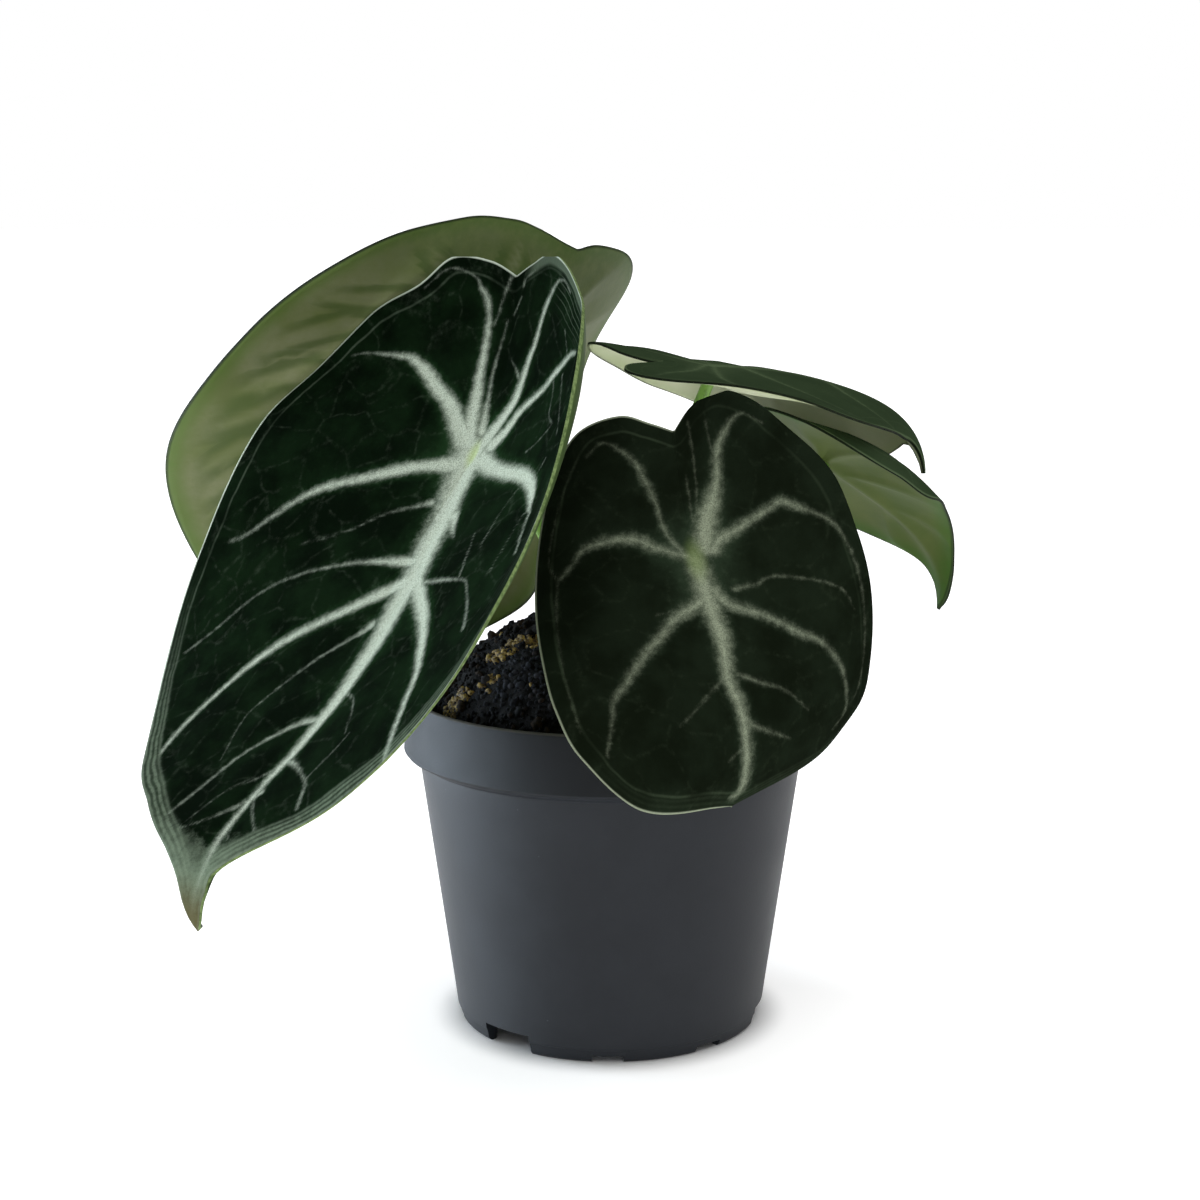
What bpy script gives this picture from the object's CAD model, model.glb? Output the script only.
import math

import bmesh
import bpy
import numpy as np
from mathutils import Matrix, Vector


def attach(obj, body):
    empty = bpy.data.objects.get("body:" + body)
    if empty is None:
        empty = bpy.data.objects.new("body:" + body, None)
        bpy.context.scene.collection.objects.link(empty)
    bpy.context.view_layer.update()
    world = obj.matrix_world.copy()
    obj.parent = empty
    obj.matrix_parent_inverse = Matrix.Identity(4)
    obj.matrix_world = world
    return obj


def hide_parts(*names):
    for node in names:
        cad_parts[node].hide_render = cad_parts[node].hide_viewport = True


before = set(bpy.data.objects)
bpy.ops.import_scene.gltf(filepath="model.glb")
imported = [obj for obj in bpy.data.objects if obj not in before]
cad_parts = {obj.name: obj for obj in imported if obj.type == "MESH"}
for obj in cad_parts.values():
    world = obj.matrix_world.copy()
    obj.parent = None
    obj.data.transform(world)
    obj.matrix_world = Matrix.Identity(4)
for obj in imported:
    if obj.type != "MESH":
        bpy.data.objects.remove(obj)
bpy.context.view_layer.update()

MM = 0.001

# The pot, in millimetres, as the frame has it.
POT_HEIGHT = 48.8
WALL = 1.0
BASE_RADIUS = 22.2
BODY_TOP_RADIUS = 27.7
COLLAR_RADIUS = 30.0
COLLAR_TOP_RADIUS = 29.3
COLLAR_BOTTOM = 40.4
FLOOR_UNDERSIDE = 3.2
FOOT_WIDTH = 1.7
PAD_RADIUS = 6.0
NOTCH_COUNT = 9
NOTCH_START = -41
DEEP_NOTCH = (8.2, 3.0)
SHALLOW_NOTCH = (4.4, 1.1)
DRAIN_HOLES = {"count": 6, "ring": 13.0, "radius": 2.2}
POT_SIDES = 180

# The photograph and the camera that it is seen with: pixels, millimetres and degrees.
PHOTO_SIZE = 1200
CAMERA_PLACE = (-1.46, -313.7, 119.05)
CAMERA_TILT = 79.66
LENS = 66.2
SENSOR = 36

# The mound of soil.
SOIL_EDGE = 46.0
SOIL_RISE = 13.5
MOUND_CENTRE_Y = 3.0
MOUND_RADIUS = 27.3
MOUND_POWER = 0.8
SOIL_RADIUS = 27.6
SOIL_BOTTOM = 4.5
SOIL_MESH = (90, 220)
STREWN_MESH = (40, 96)
CRUMB_MARGIN = 1.2

# The middle of the ashy patch in the soil, and clumps of golden grains: x, y and radius.
ASH_PATCH = (-14, -14, 54)
GRAIN_CLUMPS = [
    (-15, -5.5, 2.6), (-10.8, -6, 1.5), (-21.5, -11, 1.8), (-17, -11.5, 1.2), (-17.3, -21.5, 2.0),
    (-9.5, -24, 1.4),
]

# The blades.
BLADE_THICKNESS = 0.72
MIDRIB_HEIGHT = 0.7
MIDRIB_WIDTH = 1.3
VEIN_HEIGHT = 0.4
VEIN_WIDTH = 1.0
GROOVE_SHARE = 0.25
QUILTING = 0.45
QUILT_WIDTH = 4.5
CROSS_SLICES = 12
RELIEF_WIDTH = 1.1
GLOW_REACH = 0.6
GLOW_WIDTH = 0.75
EDGE_SOFTNESS = 0.2
THIN_STRENGTH = 0.4
THIN_EDGE = 0.34
UNDER_STEP = 3
SPINE_STEPS = 100

# The net over a blade on which the seen veins are laid flat.
NET_STEP = 0.25
NET_HEIGHT = 0.6
NET_NEIGHBOURS = 6
READING_STEP = 0.5

# Veins that carry the relief of each shape of leaf: x along the midrib, y out to either side.
LONG_VEINS = [
    [(43, 0), (48.5, 6.5), (54.5, 10.5), (60.5, 12.5)],
    [(19, 0), (27, 9), (35.5, 16.5), (44, 21), (52, 24)],
    [(16.5, 0), (18.5, 7.5), (22.5, 18.5), (33, 35)],
    [(1.5, 0), (5, 11.5), (9.5, 20.5), (17.5, 31), (22.5, 36)],
    [(-1, 0), (-6, 6), (-11, 12), (-14, 20), (-16, 29)],
    [(-2.5, 0), (-12, 4), (-20, 5.5), (-26, 8.5), (-29, 10.5)],
]
BROAD_VEINS = [[(0.89 * x, y) for x, y in vein] for vein in LONG_VEINS[:-1]]
BROAD_VEINS.append([(-2.2, 0), (-8, 3), (-13.5, 5.5), (-18, 9), (-21, 13.5)])
ROUND_VEINS = [
    [(16, 0), (18.5, 5), (22, 11), (28.5, 18)],
    [(3.5, 0), (8, 6.5), (13, 12.5), (18.5, 17.5), (23, 22.5)],
    [(0, 0), (-3.5, 6.5), (-4.5, 11), (-3, 15.5), (2, 20.8)],
    [(-1.2, 0), (-5, 2.8), (-13, 5), (-16.5, 8.5), (-19, 12)],
]
HEART_VEINS = [
    [(17, 0), (21, 4.5), (26, 8.5), (31, 9)],
    [(4, 0), (8.5, 6.5), (13.5, 12), (20, 18.3)],
    [(0, 0), (-1.5, 7), (-0.5, 14), (4, 22.7)],
    [(-1.2, 0), (-4.5, 3), (-9.5, 6), (-14.8, 12.5)],
]
NARROW_VEINS = [
    [(13, 0), (16, 3), (20, 5), (24, 5.2)],
    [(3.5, 0), (7, 5), (10.5, 9), (15, 11.8)],
    [(0, 0), (-1.2, 6), (-0.5, 12), (3.5, 19.7)],
    [(-1.2, 0), (-4.5, 3), (-9, 5.5), (-14, 11.5)],
]

# Painted veins of the two front leaves. The column and row of each point are read by eye off the
# photograph, in its pixels, and the width of the vein there is in millimetres. The midrib comes first.
FRONT_LEFT_SEEN = {
    "midrib": [(474, 455, 6), (455, 490, 5), (440, 520, 4.7), (425, 548, 4.9), (412, 575, 4.6),
        (395, 605, 4), (378, 635, 3.5), (355, 670, 3), (335, 700, 2.5), (310, 728, 2), (290, 752, 1.7),
        (255, 790, 1.3), (222, 830, 1.2)],
    "left_1": [(470, 462, 4), (430, 465, 2), (400, 468, 1.9), (365, 476, 1.6), (320, 488, 1.3),
        (280, 508, 0.9), (245, 533, 0.6), (228, 540, 0.5)],
    "left_1_branch": [(432, 500, 1.2), (415, 505, 0.7), (385, 512, 0.4), (345, 530, 0.3), (298, 544, 0.2)],
    "left_2": [(410, 560, 2), (380, 561, 1.2), (350, 562, 0.7), (300, 572, 0.5), (255, 594, 0.4),
        (215, 627, 0.4), (182, 652, 0.4)],
    "left_3": [(405, 580, 2.8), (385, 590, 2.1), (345, 610, 1.6), (300, 630, 1.5), (262, 655, 1.4),
        (230, 680, 1.1), (200, 707, 1.1), (175, 730, 1.1), (158, 752, 0.8)],
    "left_4": [(370, 625, 1.6), (350, 637, 0.7), (310, 660, 0.5), (270, 692, 0.4), (245, 715, 0.3),
        (220, 758, 0.2)],
    "left_5": [(318, 718, 1.3), (300, 722, 1.1), (262, 740, 0.7), (235, 757, 0.6), (205, 780, 0.6),
        (168, 812, 0.5)],
    "left_6": [(285, 762, 0.8), (258, 775, 0.4), (225, 792, 0.3), (178, 825, 0.2)],
    "left_7": [(262, 790, 1), (238, 803, 0.7), (205, 820, 0.4), (178, 828, 0.3)],
    "right_1": [(480, 458, 3.4), (490, 467, 2.5), (505, 472, 2.3), (520, 476, 2.2), (528, 483, 2.1),
        (530, 492, 1.9), (528, 503, 1.3), (527, 512, 0.9), (522, 525, 0.8), (513, 552, 0.7)],
    "midrib_spur": [(452, 514, 1.9), (452, 530, 1), (452, 537, 0.4)],
    "right_2": [(415, 575, 2.6), (418, 595, 2.3), (420, 615, 2), (420, 635, 1.7), (418, 655, 1.5),
        (414, 672, 1.3), (400, 707, 1.2), (382, 755, 1)],
    "right_2_branch": [(418, 583, 0.9), (445, 581, 0.7), (465, 582, 0.5), (467, 595, 0.5), (467, 612, 0.6),
        (463, 628, 0.7)],
    "right_2_twig": [(460, 578, 0.5), (470, 548, 0.4), (474, 535, 0.3)],
    "right_3": [(285, 758, 1.2), (293, 763, 0.9), (300, 773, 0.6), (301, 785, 0.6), (295, 808, 0.7)],
    "right_3_branch": [(300, 780, 0.3), (335, 750, 0.3), (350, 735, 0.2)],
    "midrib_loop": [(335, 698, 0.9), (345, 693, 0.7), (352, 700, 0.4), (354, 710, 0.4), (345, 735, 0.2)],
    "right_4": [(252, 798, 0.6), (252, 830, 0.4)],
    "right_5": [(232, 815, 0.5), (226, 838, 0.3)],
    "left_lobe_1": [(468, 440, 3), (472, 415, 2.2), (474, 395, 1.8), (477, 375, 1.5), (482, 350, 1.3),
        (488, 312, 1), (486, 298, 1.1), (480, 285, 0.7), (474, 277, 0.4), (448, 270, 0.3), (425, 287, 0.2)],
    "left_lobe_branch": [(479, 432, 1.8), (487, 400, 0.9), (491, 370, 0.6), (500, 340, 0.4),
        (507, 320, 0.3)],
    "notch_line": [(511, 272, 0.5), (502, 300, 0.4), (493, 328, 0.3)],
    "left_lobe_2": [(465, 440, 3.6), (455, 420, 2.7), (447, 400, 2.2), (438, 388, 2.1), (425, 372, 1.9),
        (412, 360, 1.5), (405, 355, 1.2), (370, 353, 0.5), (350, 355, 0.4)],
    "right_lobe_1": [(485, 440, 3.4), (500, 420, 2.3), (512, 400, 2), (520, 380, 1.7), (527, 360, 1.4),
        (534, 340, 1.3), (539, 320, 1.2), (545, 302, 1.1), (552, 288, 0.9)],
    "right_lobe_2": [(490, 445, 3), (505, 430, 2.1), (518, 412, 1.7), (530, 400, 1.5), (542, 388, 1.4),
        (552, 375, 1.4), (562, 363, 1.3)],
    "right_lobe_twig_1": [(513, 316, 0.4), (521, 295, 0.3)],
    "right_lobe_twig_2": [(524, 285, 0.6), (526, 280, 0.4), (535, 272, 0.4)],
    "right_lobe_twig_3": [(519, 380, 0.8), (516, 370, 0.5), (512, 360, 0.2)],
    "thread_1": [(552, 378, 0.4), (552, 395, 0.3), (550, 415, 0.3), (553, 425, 0.3)],
    "thread_2": [(561, 375, 0.4), (560, 410, 0.3)],
    "thread_3": [(553, 425, 0.3), (540, 440, 0.3), (525, 452, 0.3)],
    "thread_4": [(565, 350, 0.3), (565, 330, 0.3)],
    "thread_5": [(515, 490, 0.3), (503, 510, 0.3), (480, 548, 0.3)],
    "thread_6": [(527, 505, 0.3), (515, 525, 0.3), (488, 572, 0.3)],
    "thread_7": [(545, 458, 0.3), (532, 478, 0.3)],
}
FRONT_RIGHT_SEEN = {
    "midrib": [(700, 560, 2.2), (706, 590, 2.4), (714, 615, 2.1), (722, 640, 1.9), (732, 680, 1.7),
        (740, 705, 1.6), (748, 755, 1.6), (742, 792, 1.5), (732, 800, 0.9)],
    "lobe_line": [(695, 558, 0.8), (680, 550, 0.8), (665, 530, 0.7), (655, 505, 0.8), (645, 480, 0.9),
        (635, 462, 0.8), (612, 447, 0.5), (600, 445, 0.4), (585, 456, 0.3)],
    "left_1": [(692, 557, 1.4), (675, 553, 1.2), (655, 546, 1.3), (640, 540, 1.4), (620, 539, 1.3),
        (600, 542, 1.2), (585, 550, 0.9), (575, 563, 0.6), (557, 580, 0.4)],
    "left_edge": [(580, 460, 0.2), (570, 480, 0.2), (555, 525, 0.2), (550, 565, 0.2), (557, 580, 0.3),
        (556, 610, 0.3), (563, 670, 0.2), (570, 705, 0.2), (580, 730, 0.3)],
    "left_2": [(705, 600, 1.7), (690, 610, 1.6), (675, 620, 1.4), (660, 638, 1.2), (645, 655, 1.1),
        (625, 685, 0.9), (618, 700, 0.8), (613, 720, 0.5), (608, 758, 0.3)],
    "left_2_branch": [(690, 608, 0.5), (656, 615, 0.2)],
    "left_3": [(730, 676, 0.6), (710, 693, 0.4), (690, 713, 0.3), (680, 724, 0.2)],
    "lobe_1": [(705, 545, 2.6), (708, 520, 2.4), (712, 495, 1.8), (715, 475, 1.3), (717, 455, 1.2),
        (718, 440, 1.1), (730, 420, 0.7), (740, 414, 0.5), (748, 415, 0.3), (760, 422, 0.2)],
    "lobe_thread_1": [(697, 546, 0.4), (687, 490, 0.3), (684, 475, 0.2)],
    "lobe_thread_2": [(701, 545, 0.6), (698, 530, 0.5), (697, 490, 0.3), (693, 450, 0.3), (688, 420, 0.3)],
    "lobe_thread_3": [(704, 420, 0.3), (711, 450, 0.3)],
    "right_1": [(712, 548, 1.8), (720, 540, 1.6), (742, 525, 1.3), (768, 508, 1.1), (780, 502, 1.1),
        (795, 503, 1), (820, 515, 0.6), (842, 532, 0.5), (863, 590, 0.3), (862, 680, 0.3), (850, 705, 0.2)],
    "right_1_branch": [(735, 587, 0.7), (755, 583, 0.5), (775, 577, 0.4), (815, 580, 0.3), (842, 590, 0.3),
        (855, 608, 0.2)],
    "right_2": [(712, 590, 1.6), (725, 600, 1.4), (740, 608, 1.3), (770, 618, 1.1), (800, 630, 1.1),
        (822, 642, 0.9), (842, 668, 0.8), (848, 700, 0.6), (845, 715, 0.5), (835, 730, 0.4)],
    "right_3": [(732, 670, 0.8), (760, 681, 0.5), (785, 690, 0.4), (808, 710, 0.2)],
    "right_4": [(748, 722, 0.8), (770, 730, 0.6), (790, 738, 0.2)],
    "left_4": [(742, 752, 0.4), (728, 760, 0.2)],
}

# Where veins of the front left leaf run on out of sight: x towards the tip, y to the left of the midrib
# and the width, in millimetres.
FRONT_LEFT_UNSEEN = {
    "midrib": [(69, 1.5, 1.2), (75, 0, 0.8)],
    "right_lobe_1": [(-24.5, 13, 0.6), (-24, 15.5, 0.5), (-21.5, 18, 0.4)],
    "right_lobe_2": [(-11, 20, 1), (-10.5, 22, 0.8)],
    "thread_2": [(2, 24, 0.3)],
}

# Soft folds across the underside of the back left leaf, from its middle out to its left margin.
BACK_LEFT_FOLDS = [
    [(-15.5, 10.8), (-20.4, 12), (-21.8, 10.2)],
    [(-9, 20), (-14, 27)],
    [(-2, 23), (2, 28), (5, 33)],
    [(5.9, 26), (11.5, 30), (17, 33.5)],
    [(16.4, 25.2), (20.4, 28.5), (24.4, 32.2)],
    [(22.2, 24.5), (25.5, 27.2), (28.9, 30)],
    [(28, 23.8), (30.5, 25.2), (32.9, 26.8)],
    [(32.2, 22.5), (36.7, 25)],
    [(38, 19), (41, 21)],
]
FOLD_WIDTH = 1.5
FOLD_HEIGHT = 0.6


def both_sides(veins, width, end_width, reach):
    """Painted veins for a leaf whose two halves are alike, from the veins of its relief."""
    painted = [[(0, 0, 1.5 * width), (reach, 0, end_width)]]
    for vein in veins:
        widths = [width + (end_width - width) * n / (len(vein) - 1) for n in range(len(vein))]
        painted.append([(x, y, w) for (x, y), w in zip(vein, widths)])
        painted.append([(x, -y, w) for (x, y), w in zip(vein, widths)])
    return painted


# The five leaves, in millimetres and degrees. attach is where the stalk meets the blade. course gives
# the heading, pitch and roll at places along the midrib. cross gives the fold at the midrib and the
# curl towards the margin, for the left half and then the right. outline runs from tip to notch. paint
# holds the painted veins laid flat, or seen and unseen hold what they are laid flat from.
LEAVES = [
    {
        "name": "front_left",
        "attach": (-18, -23.5, 85.5),
        "reach": 28,
        "rim": (10, 0),
        "course": [(-28.5, 258, -88, 20), (0, 231, -49, 11), (26.5, 234, -43, 10), (53, 230, -39, 5),
                   (66.5, 236, -48, 5), (75.5, 230, -130, 17)],
        "cross": [(-28.5, 22, 37, 6, -5), (0, 3, 21, 18, 4), (38, 6, 8, 2, -2), (75.5, 0, 16, 4, -1)],
        "outline": [
            [(75.5, 0), (73, 2.2), (70, 3), (66, 4.7), (53, 22.2), (36.5, 33.5), (18, 36), (0, 36),
             (-12.5, 31.5), (-21, 23), (-26.5, 16.5), (-29, 10), (-27.5, 4), (-26, 0)],
            [(75.5, 0), (72.5, 0.7), (69.2, 2.4), (66, 5.8), (63, 10.2), (60, 14.4), (53, 24), (36.5, 35.6),
             (18, 36.1), (0, 35.2), (-12.5, 30.5), (-21, 23.5), (-25, 15.5), (-28.5, 10), (-28, 4), (-26, 0)],
        ],
        "veins": LONG_VEINS,
        "seen": FRONT_LEFT_SEEN,
        "unseen": FRONT_LEFT_UNSEEN,
        "softness": 0.3,
        "folds": [],
        "grid": (0.36, 108),
        "stalk": {"root": (-3.5, -3.5), "width": 3.0, "bend": (-7.5, -7.5, 69)},
    },
    {
        "name": "back_left",
        "attach": (-15.2, 11.5, 93.6),
        "reach": 30,
        "rim": (-5, -8),
        "course": [(-23, 173, -69, 43), (0, 174, -52, 37), (23.5, 166, -47, 49), (47, 146, -73, 60),
                   (59, 148, -79, 59), (67, 156, -73, 59)],
        "cross": [(-22, -4, 0, 11, 38), (0, 10, 3, 19, 14), (33.5, 0, -5, 10, 7), (67, 5, -2, -1, -1)],
        "outline": [
            [(67, 0), (64, 1.5), (58.5, 6), (47, 20.2), (32, 33.7), (16, 37.2), (0, 35.8), (-12.3, 31.4),
             (-20.1, 22.4), (-22.3, 14.3), (-22.2, 9), (-21.4, 3.7), (-21, 0)],
            [(67, 0), (64, 1.5), (58.5, 6), (47, 19.1), (32, 31.2), (16, 35.7), (0, 36.5), (-12, 30),
             (-17.3, 26.5), (-20.5, 20.5), (-22.2, 14.3), (-22.6, 9), (-22.3, 3.5), (-21, 0)],
        ],
        "veins": BROAD_VEINS,
        "paint": both_sides(BROAD_VEINS, 1.5, 0.6, 66),
        "softness": 0.25,
        "folds": BACK_LEFT_FOLDS,
        "grid": (0.55, 64),
        "stalk": {"root": (-4, 3), "width": 3.2, "bend": (-6.5, 5.5, 75)},
    },
    {
        "name": "front_right",
        "attach": (10.5, -42.5, 74.5),
        "reach": 22,
        "rim": (-21, -22),
        "course": [(-21, 278, -65, 25), (0, 290, -53, 16), (11.5, 299, -52, 9), (23, 308, -78, 2),
                   (29, 316, -108, 2), (33.8, 313, -137, -4)],
        "cross": [(-21, 24, 2, 6, -1), (0, 5, 0, 2, -2), (16.5, -3, -7, 1, -4), (33, 0, -14, 5, -7)],
        "outline": [
            [(33.6, 0), (32.3, 5.2), (29.8, 18.2), (23.4, 23.1), (16, 22.6), (8, 22), (0, 20.5), (-7.5, 19),
             (-14, 15.5), (-19, 12), (-21.5, 7.5), (-20.5, 3), (-18, 0)],
            [(33.6, 0), (32, 5), (29.4, 18.7), (23, 23.4), (16, 23.6), (8, 22.2), (0, 20.5), (-7.5, 18.5),
             (-14.5, 16), (-19.5, 12.5), (-21, 7), (-19.5, 3), (-18, 0)],
        ],
        "veins": ROUND_VEINS,
        "seen": FRONT_RIGHT_SEEN,
        "unseen": {},
        "softness": 0.5,
        "folds": [],
        "grid": (0.3, 82),
        "stalk": {"root": (2.5, -5), "width": 2.6, "bend": (4, -16, 74)},
    },
    {
        "name": "right_upper",
        "attach": (14.5, -1, 95.5),
        "reach": 22,
        "rim": (-4, -3),
        "course": [(-17, 21, -14, 14), (0, 21, -3, 9), (14, 14, -13, 8), (28, 11, -34, 4),
                   (35, 11, -66, 5), (39.5, 20, -89, -1)],
        "cross": [(-17, 12, -92, -3, 29), (-8, 12, -68, -4, 26), (0, -1, -40, -7, 22),
                  (20, -22, -36, -14, 17), (39.5, -33, -52, -29, 13)],
        "outline": [
            [(39.5, 0), (37.4, 0.6), (35.2, 1.3), (34.6, 2.6), (35.4, 4.4), (36.2, 7), (34.5, 11), (28, 15),
             (19, 19.5), (9.5, 22.5), (0, 21.5), (-8, 17.8), (-13.5, 13.2), (-16, 9), (-15.5, 5.5),
             (-13.5, 2), (-8, 0)],
            [(39.5, 0), (38, 1.2), (34, 2.8), (29.8, 7.2), (19, 18), (9.5, 22), (0, 22.5), (-8, 20),
             (-13.5, 15), (-16, 10), (-15.5, 5.5), (-13, 2), (-8, 0)],
        ],
        "veins": HEART_VEINS,
        "paint": both_sides(HEART_VEINS, 1.2, 0.4, 38),
        "softness": 0.3,
        "folds": [],
        "grid": (0.4, 55),
        "stalk": {"root": (2, 1.5), "width": 2.8, "bend": (7, 1, 76)},
    },
    {
        "name": "right_lower",
        "attach": (31.5, 7, 81.5),
        "reach": 20,
        "rim": (-10, -80),
        "course": [(-15.5, 25, -31, -8), (0, 27, -33, -13), (11.5, 21, -35, -14), (23.5, 22, -56, -19),
                   (29.5, 21, -85, -17), (33.5, 20, -118, -20)],
        "cross": [(-15.5, 1, -1, -6, -7), (0, 0, -1, -1, -3), (16.5, -5, -2, -2, -4),
                  (33.5, -3, -2, 1, -3)],
        "outline": [
            [(33.5, 0), (32, 0.8), (29, 1.7), (24.5, 4), (16, 11), (8, 18.5), (0, 20), (-7, 18),
             (-12.5, 14), (-15, 9.5), (-16, 5.5), (-15, 2), (-13, 0)],
            [(33.5, 0), (32, 0.8), (29, 1.7), (23.5, 4.6), (16, 10.7), (8.5, 18.3), (0, 19.8), (-7, 18.4),
             (-12.5, 14.6), (-15, 9.8), (-16, 5.5), (-15, 2), (-13, 0)],
        ],
        "veins": NARROW_VEINS,
        "paint": both_sides(NARROW_VEINS, 1.2, 0.4, 32),
        "softness": 0.3,
        "folds": [],
        "grid": (0.4, 55),
        "stalk": {"root": (6, 2.5), "width": 2.6, "bend": (16, 4.5, 76)},
    },
]

# The stalks.
APPROACH_BACK = 1.5
APPROACH_DOWN = 5.0
STALK_TAPER = 0.28
HOLE_DEPTH = 11.0
GAP = 0.3
STALK_SIDES = 20
STALK_STEPS = 70


def colour(red, green, blue):
    """A linear colour from the 0 to 255 numbers of a screen."""
    def linear(value):
        value /= 255
        return value / 12.92 if value <= 0.04045 else ((value + 0.055) / 1.055) ** 2.4
    return (linear(red), linear(green), linear(blue), 1.0)


def add_node(tree, kind, inputs=None, **settings):
    """A new node whose inputs are linked to other nodes' outputs or set to values."""
    node = tree.nodes.new(kind)
    for key, value in settings.items():
        setattr(node, key, value)
    for key, value in (inputs or {}).items():
        if isinstance(value, bpy.types.NodeSocket):
            tree.links.new(value, node.inputs[key])
        else:
            node.inputs[key].default_value = value
    return node


class Finish:
    """One material and the nodes that it is mixed from."""

    def __init__(self, name):
        self.material = bpy.data.materials.new(name)
        self.material.use_nodes = True
        self.tree = self.material.node_tree
        self.tree.nodes.clear()

    def add(self, kind, inputs=None, **settings):
        return add_node(self.tree, kind, inputs, **settings)

    def place(self):
        return self.add("ShaderNodeTexCoord").outputs["Object"]

    def carried(self, name):
        """A value that the mesh carries at each point."""
        return self.add("ShaderNodeAttribute", attribute_name=name).outputs["Fac"]

    def flat_place(self):
        """Where the point lies on the blade laid flat, in millimetres."""
        flat = {"X": self.carried("flat_x"), "Y": self.carried("flat_y")}
        return self.add("ShaderNodeCombineXYZ", flat).outputs[0]

    def maths(self, operation, first, second=0.0):
        return self.add("ShaderNodeMath", {0: first, 1: second}, operation=operation).outputs[0]

    def plus(self, first, second):
        return self.maths("ADD", first, second)

    def minus(self, first, second):
        return self.maths("SUBTRACT", first, second)

    def times(self, first, second):
        return self.maths("MULTIPLY", first, second)

    def vector(self, operation, first, second):
        return self.add("ShaderNodeVectorMath", {0: first, 1: second}, operation=operation).outputs[0]

    def distance(self, first, second=(0, 0, 0)):
        node = self.add("ShaderNodeVectorMath", {0: first, 1: second}, operation="DISTANCE")
        return node.outputs["Value"]

    def fade(self, value, low, high, start=0.0, end=1.0):
        """From start to end as value goes from low to high, eased."""
        inputs = {"Value": value, "From Min": low, "From Max": high, "To Min": start, "To Max": end}
        return self.add("ShaderNodeMapRange", inputs, interpolation_type="SMOOTHSTEP").outputs[0]

    def noise(self, place, size, detail=3.0, roughness=0.5):
        """Clouded noise whose features are about size millimetres across."""
        inputs = {"Vector": place, "Scale": 1.0 / (size * MM), "Detail": detail, "Roughness": roughness}
        return self.add("ShaderNodeTexNoise", inputs).outputs["Fac"]

    def mix(self, share, first, second):
        return self.add("ShaderNodeMix", {0: share, 6: first, 7: second}, data_type="RGBA").outputs[2]

    def bump(self, height, distance, strength=1.0):
        inputs = {"Height": height, "Distance": distance * MM, "Strength": strength}
        return self.add("ShaderNodeBump", inputs).outputs[0]

    def surface(self, **inputs):
        shader = self.add("ShaderNodeBsdfPrincipled", {k.replace("_", " "): v for k, v in inputs.items()})
        self.add("ShaderNodeOutputMaterial", {"Surface": shader.outputs[0]})
        return self.material


def pot_plastic():
    finish = Finish("pot_plastic")
    place = finish.place()
    cloud = finish.noise(place, 9.0, 4.0, 0.6)
    grain = finish.noise(place, 0.35, 3.0, 0.6)
    speck = finish.add("ShaderNodeTexVoronoi", {"Vector": place, "Scale": 420.0}, feature="F1")
    dust = finish.fade(speck.outputs["Distance"], 0.07, 0.02)
    scatter = finish.fade(finish.noise(place, 3.0), 0.55, 0.62)
    dust = finish.times(dust, scatter)
    shade = finish.mix(finish.fade(cloud, 0.3, 0.7), colour(31, 34, 39), colour(36, 39, 44))
    shade = finish.mix(finish.times(dust, 0.4), shade, colour(96, 100, 106))
    rough = finish.fade(cloud, 0.3, 0.7, 0.48, 0.54)
    relief = finish.bump(grain, 0.03, 0.5)
    height = finish.add("ShaderNodeSeparateXYZ", {0: place}).outputs["Z"]
    collar = finish.fade(height, (COLLAR_BOTTOM - 0.5) * MM, (COLLAR_BOTTOM + 0.5) * MM)
    shade = finish.mix(finish.times(collar, 0.8), shade, colour(22, 24, 26))
    rough = finish.plus(rough, finish.times(collar, 0.2))
    lip = finish.fade(height, (POT_HEIGHT - 0.35) * MM, (POT_HEIGHT - 0.12) * MM, 0.0, 0.6)
    shade = finish.mix(lip, shade, colour(92, 88, 80))
    return finish.surface(
        Base_Color=shade, Roughness=rough, Normal=relief, IOR=1.36, Specular_IOR_Level=0.38,
    )


def dark_soil():
    finish = Finish("dark_soil")
    place = finish.place()
    lump = finish.noise(place, 1.6, 6.0, 0.7)
    patch = finish.noise(place, 9.0, 2.0)
    shade = finish.mix(finish.fade(lump, 0.35, 0.7), colour(4, 4, 3), colour(18, 15, 11))
    shade = finish.mix(finish.fade(patch, 0.55, 0.75, 0.0, 0.4), shade, colour(40, 40, 42))
    relief = finish.bump(lump, 0.8, 0.9)
    return finish.surface(Base_Color=shade, Roughness=1.0, Normal=relief, Specular_IOR_Level=0.1)


def soil_crumb():
    finish = Finish("soil_crumb")
    place = finish.place()
    tint = finish.carried("tint")
    lump = finish.noise(place, 0.6, 4.0, 0.7)
    dark = finish.mix(finish.fade(lump, 0.3, 0.7), colour(4, 4, 3), colour(14, 12, 8))
    brown = finish.mix(finish.fade(lump, 0.3, 0.7), colour(22, 17, 10), colour(50, 38, 24))
    shade = finish.mix(finish.fade(tint, 0.8, 0.95), dark, brown)
    aside = finish.distance(place, [value * MM for value in ASH_PATCH])
    shade = finish.mix(finish.fade(aside, 0.009, 0.003, 0.0, 0.7), shade, colour(44, 47, 54))
    relief = finish.bump(lump, 0.3, 0.8)
    return finish.surface(Base_Color=shade, Roughness=1.0, Normal=relief, Specular_IOR_Level=0.1)


def bark_chip():
    finish = Finish("bark_chip")
    place = finish.place()
    tint = finish.carried("tint")
    grain = finish.noise(place, 0.5, 4.0, 0.6)
    gold = finish.mix(tint, colour(104, 78, 34), colour(184, 158, 84))
    shade = finish.mix(finish.fade(grain, 0.35, 0.7), colour(52, 38, 20), gold)
    relief = finish.bump(grain, 0.2, 0.8)
    return finish.surface(Base_Color=shade, Roughness=0.8, Normal=relief, Specular_IOR_Level=0.2)


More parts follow.
